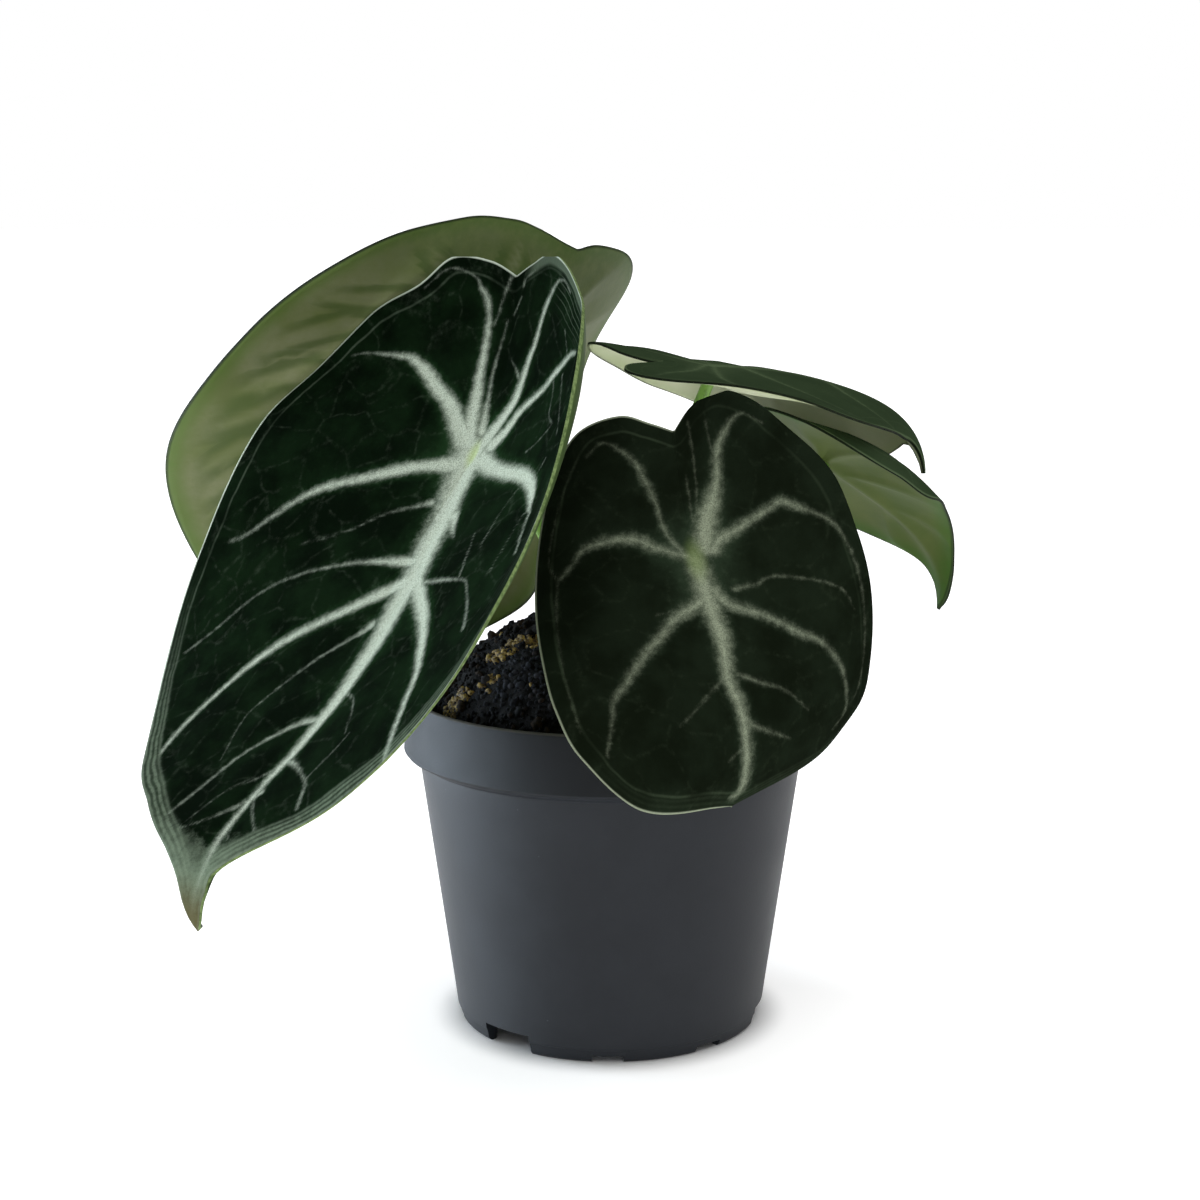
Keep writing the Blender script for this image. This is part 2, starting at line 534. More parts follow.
def velvet_marks(finish):
    """What the velvet is shaded by: the values that the blade carries, and noises from fine to coarse."""
    place = finish.place()
    marks = {name: finish.carried(name) for name in ("vein", "glow", "margin", "flat_x", "flat_y")}
    marks["grain"] = finish.noise(place, 0.17, 2.0, 0.7)
    marks["feather"] = finish.noise(place, 1.0, 5.0, 0.7)
    marks["cloud"] = finish.noise(place, 6.0, 4.0, 0.55)
    marks["ragged"] = finish.fade(marks["feather"], 0.25, 0.75, -0.13, 0.13)
    wander = finish.fade(finish.noise(place, 5.0, 2.0), 0.3, 0.7, -0.12, 0.12)
    marks["near"] = finish.plus(marks["margin"], wander)
    return marks


def velvet_ground(finish, marks, dark, halo):
    """Near-black velvet, greener beside the veins and over the stalk."""
    ground = finish.mix(finish.fade(marks["cloud"], 0.35, 0.7, 0.0, 0.25), dark, halo)
    over_stalk = finish.fade(finish.distance(finish.flat_place()), 9.0, 1.5, 0.0, 0.6)
    soft = finish.plus(finish.plus(marks["glow"], over_stalk), marks["ragged"])
    return finish.mix(finish.fade(soft, 0.1, 1.0, 0.0, 0.9), ground, halo)


def velvet_veins(finish, marks, shade, silver, line, eye, eye_size):
    """Faint threads between the veins, the silvery veins themselves and the pale eye where they meet."""
    stray = finish.add("ShaderNodeTexNoise", {"Vector": finish.place(), "Scale": 260.0, "Detail": 1.0})
    bent = finish.vector("MULTIPLY", stray.outputs["Color"], (2.4, 2.4, 0.0))
    cells = {"Vector": finish.vector("ADD", finish.flat_place(), bent), "Scale": 0.16}
    net = finish.add("ShaderNodeTexVoronoi", cells, feature="DISTANCE_TO_EDGE").outputs["Distance"]
    thread = finish.times(finish.fade(net, 0.06, 0.0), finish.fade(marks["feather"], 0.4, 0.7, 0.0, 0.07))
    shade = finish.mix(thread, shade, line)
    core = finish.maths("POWER", finish.fade(finish.plus(marks["vein"], marks["ragged"]), 0.02, 1.0), 1.5)
    core = finish.times(core, finish.fade(marks["grain"], 0.3, 0.7, 1.0, 0.55))
    shade = finish.mix(core, shade, silver)
    drawn_out = finish.vector("MULTIPLY", finish.flat_place(), (0.45, 1.0, 1.0))
    return finish.mix(finish.fade(finish.distance(drawn_out), eye_size, 0.2, 0.0, 0.6), shade, eye)


def velvet_margin(finish, marks, shade, line, silk):
    """The pale line inside the margin, and fine hairs and a hem where the left side folds over."""
    near, along, across = marks["near"], marks["flat_x"], marks["flat_y"]
    inner = finish.fade(finish.maths("ABSOLUTE", finish.minus(near, 2.2)), 0.3, 0.03)
    inner = finish.times(inner, finish.fade(marks["cloud"], 0.35, 0.65, 0.05, 0.24))
    inner = finish.times(inner, finish.fade(across, 6.0, -6.0, 0.4, 1.0))
    shade = finish.mix(inner, shade, line)
    folded = finish.times(finish.fade(across, 10.0, 17.0, 0.0, silk), finish.fade(along, 34.0, 22.0))
    hairs = finish.maths("SINE", finish.plus(finish.times(near, 5.5), marks["feather"]))
    hairs = finish.times(finish.fade(hairs, 0.7, 1.0, 0.0, 0.22), finish.fade(near, 9.0, 5.0))
    shade = finish.mix(finish.times(folded, hairs), shade, line)
    hem = finish.times(finish.fade(across, 2.0, 6.0, 0.0, silk), finish.fade(along, 16.0, 0.0))
    hem = finish.times(hem, finish.fade(near, 2.1, 1.1, 0.0, 0.34))
    return finish.mix(hem, shade, line)


def velvet_tip(finish, marks, shade, line, pale_from):
    """The striped pale band that widens towards the tip, and the tip's brown end."""
    near, along, feather = marks["near"], marks["flat_x"], marks["feather"]
    band = finish.times(finish.fade(near, 3.0, 1.8), finish.fade(along, pale_from - 40, pale_from))
    stripe = finish.maths("SINE", finish.times(near, 8.5))
    band = finish.times(band, finish.fade(stripe, -0.9, 0.9, 0.22, 0.66))
    band = finish.times(band, finish.fade(feather, 0.35, 0.6, 0.6, 1.0))
    shade = finish.mix(band, shade, line)
    streak = finish.times(finish.minus(feather, 0.5), 5.0)
    widening = finish.plus(finish.times(finish.minus(along, pale_from), 0.9), streak)
    tip = finish.fade(finish.minus(near, widening), 3.0, 0.2, 0.0, 0.8)
    tip = finish.times(tip, finish.fade(feather, 0.35, 0.6, 0.65, 1.0))
    tip = finish.times(tip, finish.fade(along, pale_from - 2, pale_from + 9))
    shade = finish.mix(tip, shade, line)
    brown = finish.fade(along, pale_from + 6, pale_from + 12, 0.0, 0.8)
    return finish.mix(brown, shade, colour(84, 74, 42))


def velvet_top(name, silver, halo, dark, line, eye, eye_size, pale_from, far_line, silk):
    """The upper face of a blade: near-black velvet with silvery veins, pale towards margin and tip."""
    finish = Finish(name)
    marks = velvet_marks(finish)
    shade = velvet_ground(finish, marks, dark, halo)
    shade = velvet_veins(finish, marks, shade, silver, line, eye, eye_size)
    shade = velvet_margin(finish, marks, shade, line, silk)
    shade = velvet_tip(finish, marks, shade, line, pale_from)
    outer = finish.fade(marks["margin"], 0.34, 0.12)
    outer = finish.times(outer, finish.fade(marks["flat_y"], -3.0, 3.0, 0.85, far_line))
    outer = finish.times(outer, finish.fade(marks["flat_x"], pale_from - 25, pale_from - 5, 1.0, 0.1))
    shade = finish.mix(outer, shade, silver)
    shade = finish.mix(finish.fade(marks["grain"], 0.4, 0.75, 0.0, 0.2), shade, dark)
    relief = finish.bump(marks["grain"], 0.05, 0.3)
    return finish.surface(
        Base_Color=shade, Roughness=0.95, Normal=relief, IOR=1.4, Specular_IOR_Level=0.006,
    )


def blade_underside(name, pale, green, deep, rib, rim, shady):
    """The under face of a blade: matte olive green, softly ribbed, greener at the margin and the base."""
    finish = Finish(name)
    place = finish.place()
    vein = finish.carried("vein")
    fold = finish.carried("fold")
    margin = finish.carried("margin")
    along = finish.carried("flat_x")
    cloud = finish.noise(place, 8.0, 4.0, 0.55)
    fleck = finish.noise(place, 1.4, 4.0, 0.65)
    grain = finish.noise(place, 0.4, 3.0, 0.6)
    shade = finish.mix(finish.fade(cloud, 0.3, 0.7), green, pale)
    shade = finish.mix(finish.fade(margin, 3.6, 0.4, 0.0, 0.75), shade, rim)
    shade = finish.mix(finish.fade(along, 4.0, -18.0, 0.0, shady), shade, deep)
    shade = finish.mix(finish.fade(fleck, 0.35, 0.75, 0.0, 0.35), shade, green)
    crease = finish.times(finish.fade(fold, 0.005, 0.08), finish.fade(fold, 0.5, 0.15, 0.0, 0.6))
    crease = finish.times(crease, finish.fade(margin, 2.0, 7.0))
    shade = finish.mix(crease, shade, deep)
    shade = finish.mix(finish.fade(fold, 0.3, 1.0, 0.0, 0.5), shade, rib)
    shade = finish.mix(finish.fade(vein, 0.4, 1.0, 0.0, 0.4), shade, rib)
    shade = finish.mix(finish.fade(margin, 0.42, 0.15, 0.0, 0.7), shade, colour(30, 42, 20))
    relief = finish.bump(grain, 0.05, 0.35)
    return finish.surface(
        Base_Color=shade, Roughness=0.6, Normal=relief, IOR=1.42, Specular_IOR_Level=0.2,
    )


def blade_edge(name, pale, dark):
    finish = Finish(name)
    grain = finish.noise(finish.place(), 0.5, 2.0)
    shade = finish.mix(finish.fade(grain, 0.3, 0.7), dark, pale)
    relief = finish.bump(grain, 0.03, 0.3)
    return finish.surface(Base_Color=shade, Roughness=0.8, Normal=relief, Specular_IOR_Level=0.1)


def stalk_skin():
    finish = Finish("stalk_skin")
    place = finish.place()
    along = finish.carried("along")
    fleck = finish.noise(place, 0.7, 3.0, 0.6)
    cloud = finish.noise(place, 4.0, 2.0)
    shade = finish.mix(finish.fade(cloud, 0.3, 0.7), colour(104, 148, 62), colour(128, 170, 78))
    shade = finish.mix(finish.fade(along, 0.3, 0.0, 0.0, 0.6), shade, colour(150, 120, 92))
    shade = finish.mix(finish.fade(fleck, 0.56, 0.66, 0.0, 0.4), shade, colour(84, 104, 56))
    return finish.surface(Base_Color=shade, Roughness=0.42, Normal=finish.bump(fleck, 0.05, 0.3))


def make_mesh(name, points, faces, materials, smooth=True):
    """A mesh object at the origin, from points in millimetres."""
    mesh = bpy.data.meshes.new(name)
    mesh.from_pydata([tuple(float(c) * MM for c in p) for p in points], [], faces)
    for material in materials:
        mesh.materials.append(material)
    mesh.shade_smooth() if smooth else mesh.shade_flat()
    piece = bpy.data.objects.new(name, mesh)
    bpy.context.scene.collection.objects.link(piece)
    return piece


def turned(name, profile, sides, materials):
    """A closed profile of (radius, height) turned round the Z axis."""
    bm = bmesh.new()
    rings = []
    for radius, height in profile:
        if radius == 0:
            rings.append([bm.verts.new((0, 0, height * MM))] * sides)
            continue
        angles = [2 * math.pi * i / sides for i in range(sides)]
        place = [(radius * MM * math.cos(a), radius * MM * math.sin(a), height * MM) for a in angles]
        rings.append([bm.verts.new(p) for p in place])
    for lower, upper in zip(rings, rings[1:] + rings[:1]):
        for i in range(sides):
            j = (i + 1) % sides
            corners = list(dict.fromkeys([lower[i], lower[j], upper[j], upper[i]]))
            if len(corners) > 2:
                bm.faces.new(corners)
    bmesh.ops.recalc_face_normals(bm, faces=bm.faces)
    mesh = bpy.data.meshes.new(name)
    bm.to_mesh(mesh)
    bm.free()
    for material in materials:
        mesh.materials.append(material)
    piece = bpy.data.objects.new(name, mesh)
    bpy.context.scene.collection.objects.link(piece)
    return piece


def as_plain_mesh(piece):
    """Applies the piece's modifiers and removes them."""
    graph = bpy.context.evaluated_depsgraph_get()
    result = bpy.data.meshes.new_from_object(piece.evaluated_get(graph))
    piece.modifiers.clear()
    piece.data = result


def arc(centre_r, centre_z, radius, start, end, steps):
    angles = [math.radians(start + (end - start) * i / steps) for i in range(steps + 1)]
    return [(centre_r + radius * math.cos(a), centre_z + radius * math.sin(a)) for a in angles]


def body_inner_radius(z):
    return BASE_RADIUS + (BODY_TOP_RADIUS - BASE_RADIUS) * z / COLLAR_BOTTOM - WALL


def pot_profile():
    """The wall of the pot, up the outside, over the lip, down the inside and under the floor."""
    ledge = COLLAR_BOTTOM - WALL
    slope = (BODY_TOP_RADIUS - BASE_RADIUS) / ledge
    outside = [
        (BASE_RADIUS - FOOT_WIDTH, 0.15),
        (BASE_RADIUS - FOOT_WIDTH + 0.15, 0),
        *arc(BASE_RADIUS - 1.0, 1.0, 1.0, -88, 0, 8),
        (BASE_RADIUS + slope * 2.0, 2.0),
        (BASE_RADIUS + slope * 2.1 + 0.12, 2.12),
        (BASE_RADIUS + slope * 2.4 + 0.12, 2.4),
        *[(BASE_RADIUS + slope * z + 0.1, z) for z in (6, 12, 18, 24, 30, 35, 38)],
        (BODY_TOP_RADIUS, ledge - 0.3),
        (BODY_TOP_RADIUS + 0.25, ledge),
        (COLLAR_RADIUS - 0.9, COLLAR_BOTTOM - 0.42),
        (COLLAR_RADIUS - 0.3, COLLAR_BOTTOM - 0.15),
        (COLLAR_RADIUS, COLLAR_BOTTOM + 0.25),
        (COLLAR_RADIUS - 0.06, COLLAR_BOTTOM + 1.0),
        (COLLAR_TOP_RADIUS + 0.33, (COLLAR_BOTTOM + POT_HEIGHT) / 2),
        *arc(COLLAR_TOP_RADIUS - 0.45, POT_HEIGHT - 0.5, 0.5, 0, 180, 10),
    ]
    inside = [
        (COLLAR_RADIUS - WALL - 0.2, COLLAR_BOTTOM + 0.9),
        (body_inner_radius(COLLAR_BOTTOM - 0.4), COLLAR_BOTTOM - 0.1),
        (body_inner_radius(FLOOR_UNDERSIDE + WALL + 1), FLOOR_UNDERSIDE + WALL + 1),
        (body_inner_radius(FLOOR_UNDERSIDE) - 1, FLOOR_UNDERSIDE + WALL),
        (0, FLOOR_UNDERSIDE + WALL),
        (0, 0),
        (PAD_RADIUS - 0.2, 0),
        (PAD_RADIUS, 0.2),
        (PAD_RADIUS, FLOOR_UNDERSIDE),
        (BASE_RADIUS - FOOT_WIDTH, FLOOR_UNDERSIDE),
    ]
    return outside + inside


def cut_pot(pot):
    """Cuts the notches of the foot ring and the drain holes."""
    cutters = bmesh.new()
    for i in range(NOTCH_COUNT):
        width, height = DEEP_NOTCH if i % 3 == 0 else SHALLOW_NOTCH
        box = bmesh.ops.create_cube(cutters, size=1.0)["verts"]
        bmesh.ops.scale(cutters, vec=(width * MM, 8 * MM, 2 * height * MM), verts=box)
        bmesh.ops.translate(cutters, vec=(0, -BASE_RADIUS * MM, 0), verts=box)
        turn = math.radians(NOTCH_START + 360 * i / NOTCH_COUNT)
        bmesh.ops.rotate(cutters, cent=(0, 0, 0), verts=box, matrix=Matrix.Rotation(turn, 3, "Z"))
    for i in range(DRAIN_HOLES["count"]):
        turn = 2 * math.pi * (i + 0.5) / DRAIN_HOLES["count"]
        radius = DRAIN_HOLES["radius"] * MM
        hole = bmesh.ops.create_cone(
            cutters, cap_ends=True, segments=32, radius1=radius, radius2=radius, depth=4 * WALL * MM,
        )["verts"]
        ring = DRAIN_HOLES["ring"] * MM
        middle = (ring * math.cos(turn), ring * math.sin(turn), (FLOOR_UNDERSIDE + WALL / 2) * MM)
        bmesh.ops.translate(cutters, vec=middle, verts=hole)
    mesh = bpy.data.meshes.new("cutters")
    cutters.to_mesh(mesh)
    cutters.free()
    tool = bpy.data.objects.new("cutters", mesh)
    bpy.context.scene.collection.objects.link(tool)
    cut = pot.modifiers.new("cut", "BOOLEAN")
    cut.operation = "DIFFERENCE"
    cut.solver = "EXACT"
    cut.object = tool
    as_plain_mesh(pot)
    bpy.data.objects.remove(tool)
    bpy.data.meshes.remove(mesh)


def make_pot():
    pot = turned("nursery_pot", pot_profile(), POT_SIDES, [pot_plastic()])
    cut_pot(pot)
    pot.data.shade_smooth()
    pot.data.set_sharp_from_angle(angle=math.radians(32))
    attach(pot, "root")
    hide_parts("pot")


def mound_height(x, y):
    away = (x ** 2 + (y - MOUND_CENTRE_Y) ** 2) / MOUND_RADIUS ** 2
    return SOIL_EDGE + SOIL_RISE * np.maximum(0, 1 - away) ** MOUND_POWER


def soft_noise(x, y, size, seed):
    """Smooth random heights from -1 to 1 with bumps about size millimetres wide."""
    draw = np.random.default_rng(seed)
    table = draw.uniform(-1, 1, (256, 256))
    u, v = x / size + 128, y / size + 128
    i, j = np.floor(u).astype(int), np.floor(v).astype(int)
    s, t = u - i, v - j
    s, t = s * s * (3 - 2 * s), t * t * (3 - 2 * t)
    i, j = i % 255, j % 255
    low = table[i, j] * (1 - s) + table[i + 1, j] * s
    high = table[i, j + 1] * (1 - s) + table[i + 1, j + 1] * s
    return low * (1 - t) + high * t


def soil_surface(rings, sides):
    """Points of the soil's top, ring by ring from the middle out."""
    radius = SOIL_RADIUS * (np.arange(1, rings + 1) / rings)[:, None]
    angle = (2 * math.pi * np.arange(sides) / sides)[None, :]
    x, y = radius * np.cos(angle), radius * np.sin(angle)
    lumps = 0.55 * soft_noise(x, y, 3.2, 11) + 0.4 * soft_noise(x, y, 1.5, 12)
    lumps = lumps + 0.25 * soft_noise(x, y, 0.7, 13)
    quiet = np.clip((SOIL_RADIUS - radius) / 2.5, 0, 1)
    z = mound_height(x, y) + (0.45 + lumps) * quiet + 0.2 * lumps * (1 - quiet)
    top = [(0.0, 0.0, float(mound_height(0.0, 0.0)) + 0.4)]
    return top + list(zip(x.ravel(), y.ravel(), z.ravel()))


def disc_faces(rings, sides):
    faces = [(0, 1 + i, 1 + (i + 1) % sides) for i in range(sides)]
    for ring in range(rings - 1):
        for i in range(sides):
            j = (i + 1) % sides
            inner, outer = 1 + ring * sides, 1 + (ring + 1) * sides
            faces.append((inner + i, outer + i, outer + j, inner + j))
    return faces


def make_soil():
    rings, sides = SOIL_MESH
    points = soil_surface(rings, sides)
    faces = disc_faces(rings, sides)
    rim = 1 + (rings - 1) * sides
    skirt = [
        (SOIL_RADIUS, SOIL_EDGE - 1.5),
        (body_inner_radius(COLLAR_BOTTOM) - 0.4, COLLAR_BOTTOM + 0.4),
        (body_inner_radius(SOIL_BOTTOM + 1) - 0.4, SOIL_BOTTOM + 1),
        (body_inner_radius(SOIL_BOTTOM) - 1.7, SOIL_BOTTOM),
    ]
    above = rim
    for radius, height in skirt:
        ring = len(points)
        for i in range(sides):
            angle = 2 * math.pi * i / sides
            points.append((radius * math.cos(angle), radius * math.sin(angle), height))
        faces += [
            (above + i, ring + i, ring + (i + 1) % sides, above + (i + 1) % sides) for i in range(sides)
        ]
        above = ring
    points.append((0, 0, SOIL_BOTTOM))
    faces += [(above + (i + 1) % sides, above + i, len(points) - 1) for i in range(sides)]
    soil = make_mesh("soil_bed", points, faces, [dark_soil()])
    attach(soil, "root")
    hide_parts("soil")


def scatter_tree(name, lump):
    """Strews copies of a lump over a surface, turned and sized at random, each with its own tint."""
    tree = bpy.data.node_groups.new(name, "GeometryNodeTree")
    sizes = [(label, "Float") for label in ("Density", "Smallest", "Largest", "Flatness", "Length")]
    for label, kind in [("Geometry", "Geometry"), *sizes, ("Seed", "Int"), ("Material", "Material")]:
        tree.interface.new_socket(label, in_out="INPUT", socket_type="NodeSocket" + kind)
    tree.interface.new_socket("Geometry", in_out="OUTPUT", socket_type="NodeSocketGeometry")

    def add(kind, inputs=None, **settings):
        return add_node(tree, kind, inputs, **settings).outputs

    given = add("NodeGroupInput")
    seed = given["Seed"]
    spread = {"Mesh": given["Geometry"], "Density": given["Density"], "Seed": seed}
    points = add("GeometryNodeDistributePointsOnFaces", spread)

    ball = add("GeometryNodeMeshIcoSphere", {"Radius": 0.5, "Subdivisions": lump["subdivisions"]})
    bumps = add("ShaderNodeTexNoise", {"Scale": lump["bump_scale"]})
    height = {0: bumps["Fac"], 1: lump["bumpiness"], 2: 1 - lump["bumpiness"] / 2}
    lift = add("ShaderNodeMath", height, operation="MULTIPLY_ADD")
    place = add("GeometryNodeInputPosition")
    swell = add("ShaderNodeVectorMath", {0: place[0], "Scale": lift[0]}, operation="SCALE")
    shape = add("GeometryNodeSetPosition", {"Geometry": ball["Mesh"], "Position": swell[0]})

    size = add("FunctionNodeRandomValue", {2: given["Smallest"], 3: given["Largest"], "Seed": seed})
    long = add("ShaderNodeMath", {0: size[1], 1: given["Length"]}, operation="MULTIPLY")
    flat = add("ShaderNodeMath", {0: size[1], 1: given["Flatness"]}, operation="MULTIPLY")
    scale = add("ShaderNodeCombineXYZ", {"X": long[0], "Y": size[1], "Z": flat[0]})
    tilt = lump["tilt"]
    turns = {0: (-tilt, -tilt, 0), 1: (tilt, tilt, 2 * math.pi), "Seed": seed}
    turn = add("FunctionNodeRandomValue", turns, data_type="FLOAT_VECTOR")
    copies = {"Points": points["Points"], "Instance": shape[0], "Rotation": turn[0], "Scale": scale[0]}
    strewn = add("GeometryNodeInstanceOnPoints", copies)

    shade = add("FunctionNodeRandomValue", {"Seed": seed})
    tint = {"Geometry": strewn[0], "Name": "tint", "Value": shade[1]}
    tinted = add("GeometryNodeStoreNamedAttribute", tint, domain="INSTANCE")
    solid = add("GeometryNodeRealizeInstances", {0: tinted[0]})
    painted = add("GeometryNodeSetMaterial", {"Geometry": solid[0], "Material": given["Material"]})
    add("NodeGroupOutput", {0: painted[0]})
    return tree


def strew(name, tree, settings, material, region):
    """Makes a piece of crumbs, strewn over the part of the soil where region(x, y) holds."""
    rings, sides = STREWN_MESH
    points = soil_surface(rings, sides)
    faces = []
    for corners in disc_faces(rings, sides):
        x = sum(points[c][0] for c in corners) / len(corners)
        y = sum(points[c][1] for c in corners) / len(corners)
        if region(x, y):
            faces.append(corners)
    piece = make_mesh(name, points, faces, [material])
    scatter = piece.modifiers.new("scatter", "NODES")
    scatter.node_group = tree
    sockets = {item.name: item.identifier for item in tree.interface.items_tree if item.in_out == "INPUT"}
    for label, value in settings.items():
        scatter[sockets[label]] = value
    scatter[sockets["Material"]] = material
    as_plain_mesh(piece)
    piece.data.shade_smooth()
    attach(piece, "root")


def make_crumbs():
    """Strews the soil with fine and coarse crumbs and with golden grains, some alone and some in clumps."""
    round_lump = {"subdivisions": 1, "bump_scale": 2.2, "bumpiness": 0.9, "tilt": 3.1}
    flat_lump = {"subdivisions": 1, "bump_scale": 1.6, "bumpiness": 0.8, "tilt": 1.4}
    crumbs = scatter_tree("crumbs", round_lump)
    chips = scatter_tree("chips", flat_lump)

    def everywhere(x, y):
        return math.hypot(x, y) < SOIL_RADIUS - CRUMB_MARGIN

    def clumped(x, y):
        return any(math.hypot(x - mid_x, y - mid_y) < radius for mid_x, mid_y, radius in GRAIN_CLUMPS)

    def settings(density, smallest, largest, flatness, length, seed):
        return {
            "Density": density, "Smallest": smallest * MM, "Largest": largest * MM,
            "Flatness": flatness, "Length": length, "Seed": seed,
        }

    strew("soil_crumbs_fine", crumbs, settings(1.1e6, 0.4, 1.0, 0.8, 1.2, 3), soil_crumb(), everywhere)
    strew("soil_crumbs_coarse", crumbs, settings(1.2e5, 0.8, 1.9, 0.7, 1.3, 5), soil_crumb(), everywhere)
    strew("golden_grains", chips, settings(2.5e4, 0.4, 1.0, 0.7, 1.4, 8), bark_chip(), everywhere)
    strew("golden_clumps", chips, settings(4.5e6, 0.4, 1.2, 0.8, 1.2, 9), bark_chip(), clumped)


def through(rows, place):
    """A smooth curve through rows of (place, value, ...), read at an array of places."""
    rows = np.array(rows, float)
    at, value = rows[:, 0], rows[:, 1:]
    span = np.diff(at)
    rise = np.diff(value, axis=0) / span[:, None]
    slope = np.vstack([rise[:1], rise[-1:]]) if len(rise) == 1 else np.empty_like(value)
    slope[0], slope[-1] = rise[0], rise[-1]
    before, after = span[:-1, None], span[1:, None]
    slope[1:-1] = (rise[:-1] * after + rise[1:] * before) / (before + after)
    place = np.clip(place, at[0], at[-1])
    i = np.clip(np.searchsorted(at, place, side="right") - 1, 0, len(span) - 1)
    width = span[i][..., None]
    t = ((place - at[i]) / span[i])[..., None]
    start, end = value[i], value[i + 1]
    cubic = (2 * t ** 3 - 3 * t ** 2 + 1) * start + (-2 * t ** 3 + 3 * t ** 2) * end
    return cubic + width * ((t ** 3 - 2 * t ** 2 + t) * slope[i] + (t ** 3 - t ** 2) * slope[i + 1])


def smooth_curve(points, share):
    """A smooth curve through the points, read at shares from 0 to 1."""
    points = np.array(points, float)
    last = len(points) - 1
    share = np.asarray(share, float) * last
    i = np.clip(np.floor(share).astype(int), 0, last - 1)
    t = (share - i)[..., None]
    a, b = points[np.maximum(i - 1, 0)], points[i]
    c, d = points[i + 1], points[np.minimum(i + 2, last)]
    leave, arrive = (c - a) / 2, (d - b) / 2
    return (2 * b - 2 * c + leave + arrive) * t ** 3 + (3 * c - 3 * b - 2 * leave - arrive) * t ** 2 \
        + leave * t + b


def even_curve(points, share):
    """The same curve, read at shares of its length."""
    fine = smooth_curve(points, np.linspace(0, 1, 401))
    length = np.concatenate([[0], np.cumsum(np.linalg.norm(np.diff(fine, axis=0), axis=1))])
    at = np.interp(np.asarray(share) * length[-1], length, np.linspace(0, 1, 401))
    return smooth_curve(points, at), length[-1]


def spine_of(leaf):
    """Points, side and top directions along the midrib."""
    first, last = leaf["course"][0][0], leaf["course"][-1][0]
    place = np.linspace(first, last, SPINE_STEPS + 1)
    heading, pitch, roll = np.radians(through(leaf["course"], place)).T
    flat = np.zeros_like(heading)
    along = np.stack([np.cos(pitch) * np.cos(heading), np.cos(pitch) * np.sin(heading), np.sin(pitch)], 1)
    level = np.stack([-np.sin(heading), np.cos(heading), flat], 1)
    upright = np.cross(along, level)
    side = level * np.cos(roll)[:, None] + upright * np.sin(roll)[:, None]
    top = upright * np.cos(roll)[:, None] - level * np.sin(roll)[:, None]
    step = (last - first) / SPINE_STEPS
    point = np.concatenate([np.zeros((1, 3)), np.cumsum((along[1:] + along[:-1]) * step / 2, axis=0)])
    middle = [np.interp(0, place, point[:, k]) for k in range(3)]
    point += np.array(leaf["attach"]) - middle
    return place, point, side, top


def in_space(leaf, x, y, height, hand):
    """Places in space of flat points (x, y) of the half of a blade on that hand, raised by height."""
    place, point, side, top = leaf["spine"]
    x, y, height = np.broadcast_arrays(np.asarray(x, float), y, height)
    at = np.clip(x, place[0], place[-1])
    centre, aside, above = (
        np.stack([np.interp(at, place, values[:, k]) for k in range(3)], -1) for values in (point, side, top)
    )
    half = 0 if hand > 0 else 1
    cross = np.radians(through(leaf["cross"], x))
    fold, curl = cross[..., 2 * half], cross[..., 2 * half + 1]
    rim = math.radians(leaf["rim"][half])
    out = np.abs(y) / leaf["reach"]
    across, up = np.zeros_like(out), np.zeros_like(out)
    for k in range(CROSS_SLICES):
        s = out * (k + 0.5) / CROSS_SLICES
        angle = fold + curl * s + rim * s ** 5
        across += np.cos(angle) * np.abs(y) / CROSS_SLICES
        up += np.sin(angle) * np.abs(y) / CROSS_SLICES
    tilt = np.where(y == 0, 0, fold + curl * out + rim * out ** 5)
    sideways = hand * (across - height * np.sin(tilt))
    return centre + aside * sideways[..., None] + above * (up + height * np.cos(tilt))[..., None]


def seen_at(places):
    """The photograph's pixels, column and row, at which places in space are seen."""
    tilt = math.radians(CAMERA_TILT)
    away = places - np.array(CAMERA_PLACE)
    ahead = away @ np.array([0, math.sin(tilt), -math.cos(tilt)])
    above = away @ np.array([0, math.cos(tilt), math.sin(tilt)])
    scale = PHOTO_SIZE * LENS / SENSOR / ahead
    return np.stack([PHOTO_SIZE / 2 + scale * away[..., 0], PHOTO_SIZE / 2 - scale * above], -1)


def net_over(leaf):
    """Flat points all over a blade, and the pixels at which its upper face shows them."""
    flat, pixels = [], []
    for half, hand in ((0, 1), (1, -1)):
        widest = max(y for _, y in leaf["outline"][half])
        along = np.arange(leaf["course"][0][0], leaf["course"][-1][0], NET_STEP)
        x, y = np.meshgrid(along, np.arange(0, widest, NET_STEP), indexing="ij")
        flat.append(np.stack([x.ravel(), hand * y.ravel()], 1))
        pixels.append(seen_at(in_space(leaf, x.ravel(), y.ravel(), NET_HEIGHT, hand)))
    return np.concatenate(flat), np.concatenate(pixels)


def laid_flat(leaf):
    """The veins seen in the photograph as flat points, as near as they could be read, and their widths."""
    flat, pixels = net_over(leaf)
    veins = {}
    for name, seen in leaf["seen"].items():
        veins[name] = []
        for column, row, width in seen:
            away = np.hypot(pixels[:, 0] - column, pixels[:, 1] - row)
            near = np.argpartition(away, NET_NEIGHBOURS)[:NET_NEIGHBOURS]
            weight = 1 / (away[near] + NET_STEP) ** 2
            x, y = READING_STEP * np.round(weight @ flat[near] / weight.sum() / READING_STEP)
            veins[name].append((x, y, width))
        veins[name] += leaf["unseen"].get(name, [])
    veins["midrib"][0] = (0, 0, veins["midrib"][0][2])
    return list(veins.values())


